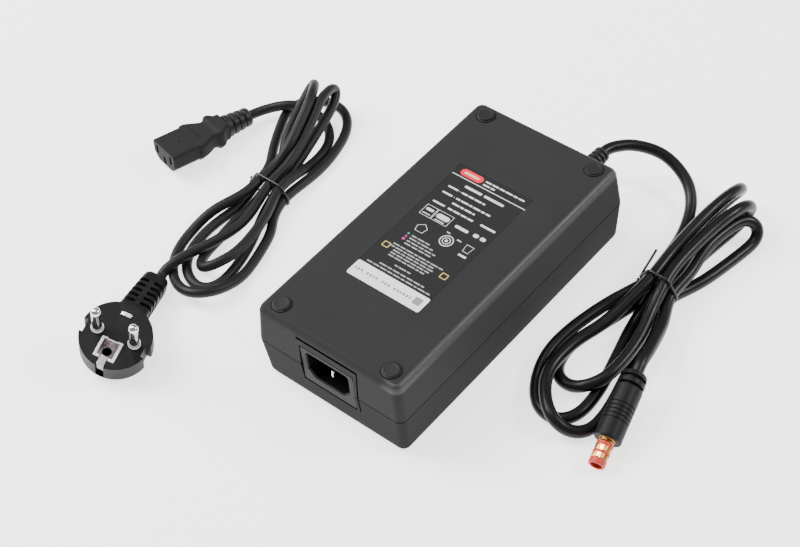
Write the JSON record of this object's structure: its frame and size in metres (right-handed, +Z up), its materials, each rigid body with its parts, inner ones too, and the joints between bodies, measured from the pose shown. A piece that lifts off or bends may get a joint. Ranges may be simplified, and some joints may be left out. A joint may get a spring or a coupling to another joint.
{
  "type": "electric bicycle charger",
  "caption": "Black mains charger for an electric bicycle battery, with a tied charging lead and plug, and a separate tied mains lead with a side-earth wall plug.",
  "frame": {"origin": "centre of the plain cover face that the case lies on, at the bottom of the case", "axes": "+Z up, through the face with the feet and the rating label; +Y along the case, towards the end where the charging lead leaves it; +X to the right, towards the coiled charging lead"},
  "size_m": [0.3028, 0.2695, 0.0467],
  "materials": {
    "case_plastic": "fine grained satin black",
    "foot_rubber": "matte black",
    "screw_steel": "dark zinc",
    "label_film": "satin printed film",
    "strip_film": "satin white film",
    "inlet_plastic": "satin black",
    "contact_metal": "nickel plated",
    "contact_brass": "gold coloured plating",
    "board_laminate": "green solder mask",
    "component_dark": "moulded black",
    "component_yellow": "yellow tape and moulding",
    "component_sleeve": "dark shrink sleeve",
    "choke_enamel": "enamelled copper wire",
    "heatsink_aluminium": "plain",
    "fuse_glass": "clear",
    "light_clear": "diffusing clear",
    "indicator_red": "tinted clear",
    "wire_red": "smooth",
    "wire_black": "smooth",
    "relief_rubber": "matte black",
    "dc_jacket": "smooth black",
    "mains_jacket": "smooth black",
    "tie_wire": "smooth black",
    "plug_plastic": "satin black",
    "collar_plastic": "white",
    "tip_nylon": "salmon red"
  },
  "bodies": {
    "root": {"base_shell": "case_plastic", "cover_shell": "case_plastic", "foot_1": "foot_rubber", "foot_2": "foot_rubber", "foot_3": "foot_rubber", "foot_4": "foot_rubber", "case_screw_1": "screw_steel", "case_screw_2": "screw_steel", "case_screw_3": "screw_steel", "case_screw_4": "screw_steel", "rating_label": "label_film", "serial_label": "strip_film", "inlet_housing": "inlet_plastic", "inlet_pin_live": "contact_metal", "inlet_pin_neutral": "contact_metal", "inlet_pin_earth": "contact_metal", "earth_contact": "contact_metal", "earth_clip": "contact_metal", "plug_pin_left": "contact_metal", "plug_pin_right": "contact_metal", "connector_contact_live": "contact_brass", "connector_contact_neutral": "contact_brass", "connector_contact_earth": "contact_brass", "dc_plug_collar": "contact_brass", "dc_plug_band_1": "contact_brass", "dc_plug_band_2": "contact_brass", "circuit_board": "board_laminate", "bridge_rectifier": "component_dark", "choke_base": "component_dark", "switching_transistor": "component_dark", "output_rectifier": "component_dark", "transformer_core": "component_dark", "x_capacitor": "component_yellow", "transformer_winding": "component_yellow", "bulk_capacitor": "component_sleeve", "output_capacitor_1": "component_sleeve", "output_capacitor_2": "component_sleeve", "choke_winding": "choke_enamel", "primary_heatsink": "heatsink_aluminium", "secondary_heatsink": "heatsink_aluminium", "fuse": "fuse_glass", "light_pipe": "light_clear", "indicator_led": "indicator_red", "output_wire_positive": "wire_red", "output_wire_negative": "wire_black", "strain_relief": "relief_rubber", "connector_relief": "relief_rubber", "dc_cord": "dc_jacket", "mains_cord": "mains_jacket", "dc_tie": "tie_wire", "mains_tie": "tie_wire", "dc_plug_grip": "plug_plastic", "connector_body": "plug_plastic", "plug_body": "plug_plastic", "plug_collar_left": "collar_plastic", "plug_collar_right": "collar_plastic", "earth_frame": "collar_plastic", "dc_plug_insulator": "tip_nylon"}
  },
  "joints": []
}
